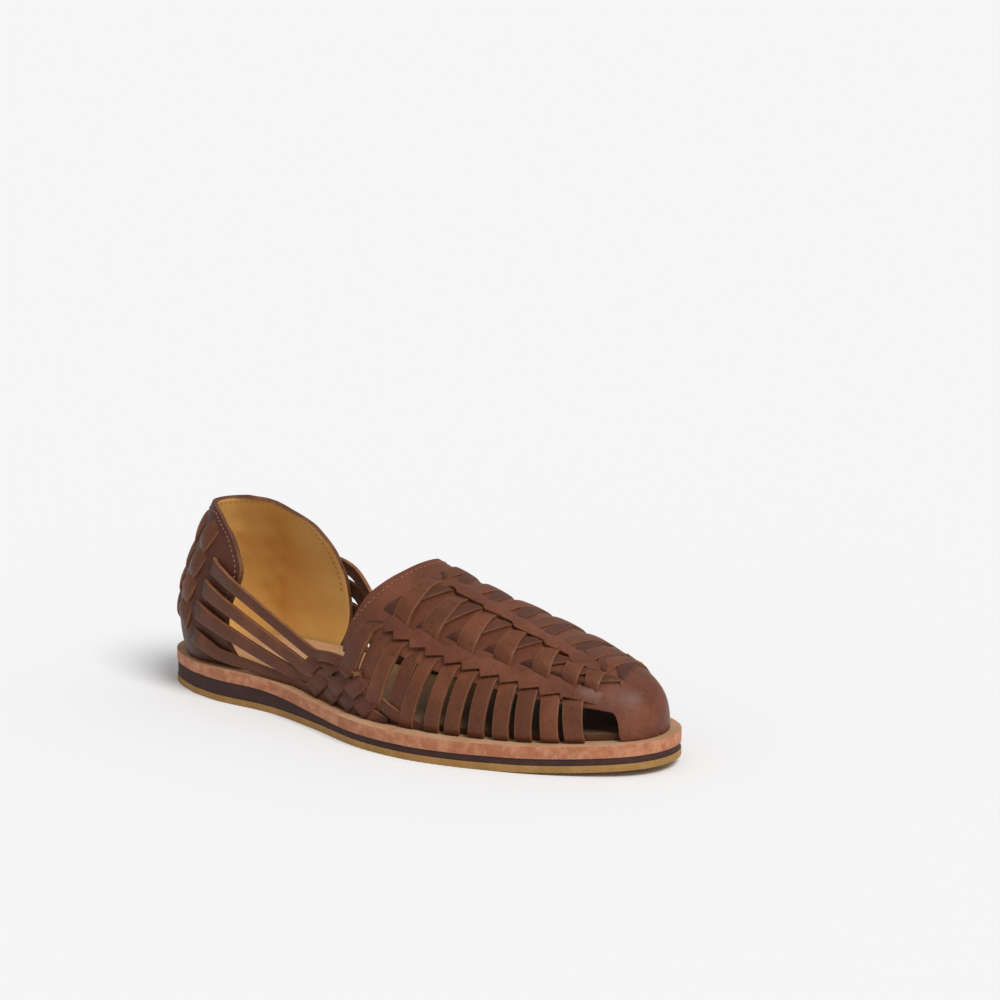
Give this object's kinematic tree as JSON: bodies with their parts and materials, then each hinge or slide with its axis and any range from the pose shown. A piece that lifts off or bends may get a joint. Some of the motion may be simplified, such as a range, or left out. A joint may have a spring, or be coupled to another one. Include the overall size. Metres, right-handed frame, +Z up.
{
  "type": "huarache sandal",
  "caption": "Women's right huarache sandal in brown woven leather, with finger strips, a slotted heel counter, a leather board and a gum outsole.",
  "frame": {"origin": "on the floor under the middle of the shoe's box", "axes": "+X from heel to toe, +Y to the inner side of the foot, +Z up"},
  "size_m": [0.255, 0.0924, 0.0806],
  "materials": {
    "upper_leather": "satin",
    "counter_leather": "satin",
    "board_leather": "raw edge",
    "insole_leather": "smooth",
    "dark_rubber": "matt",
    "gum_rubber": "matt"
  },
  "bodies": {
    "root": {"outsole": "gum_rubber", "midsole": "dark_rubber", "leather_board": "board_leather", "insole": "insole_leather", "heel_counter": "counter_leather", "upper": "upper_leather"}
  },
  "joints": []
}
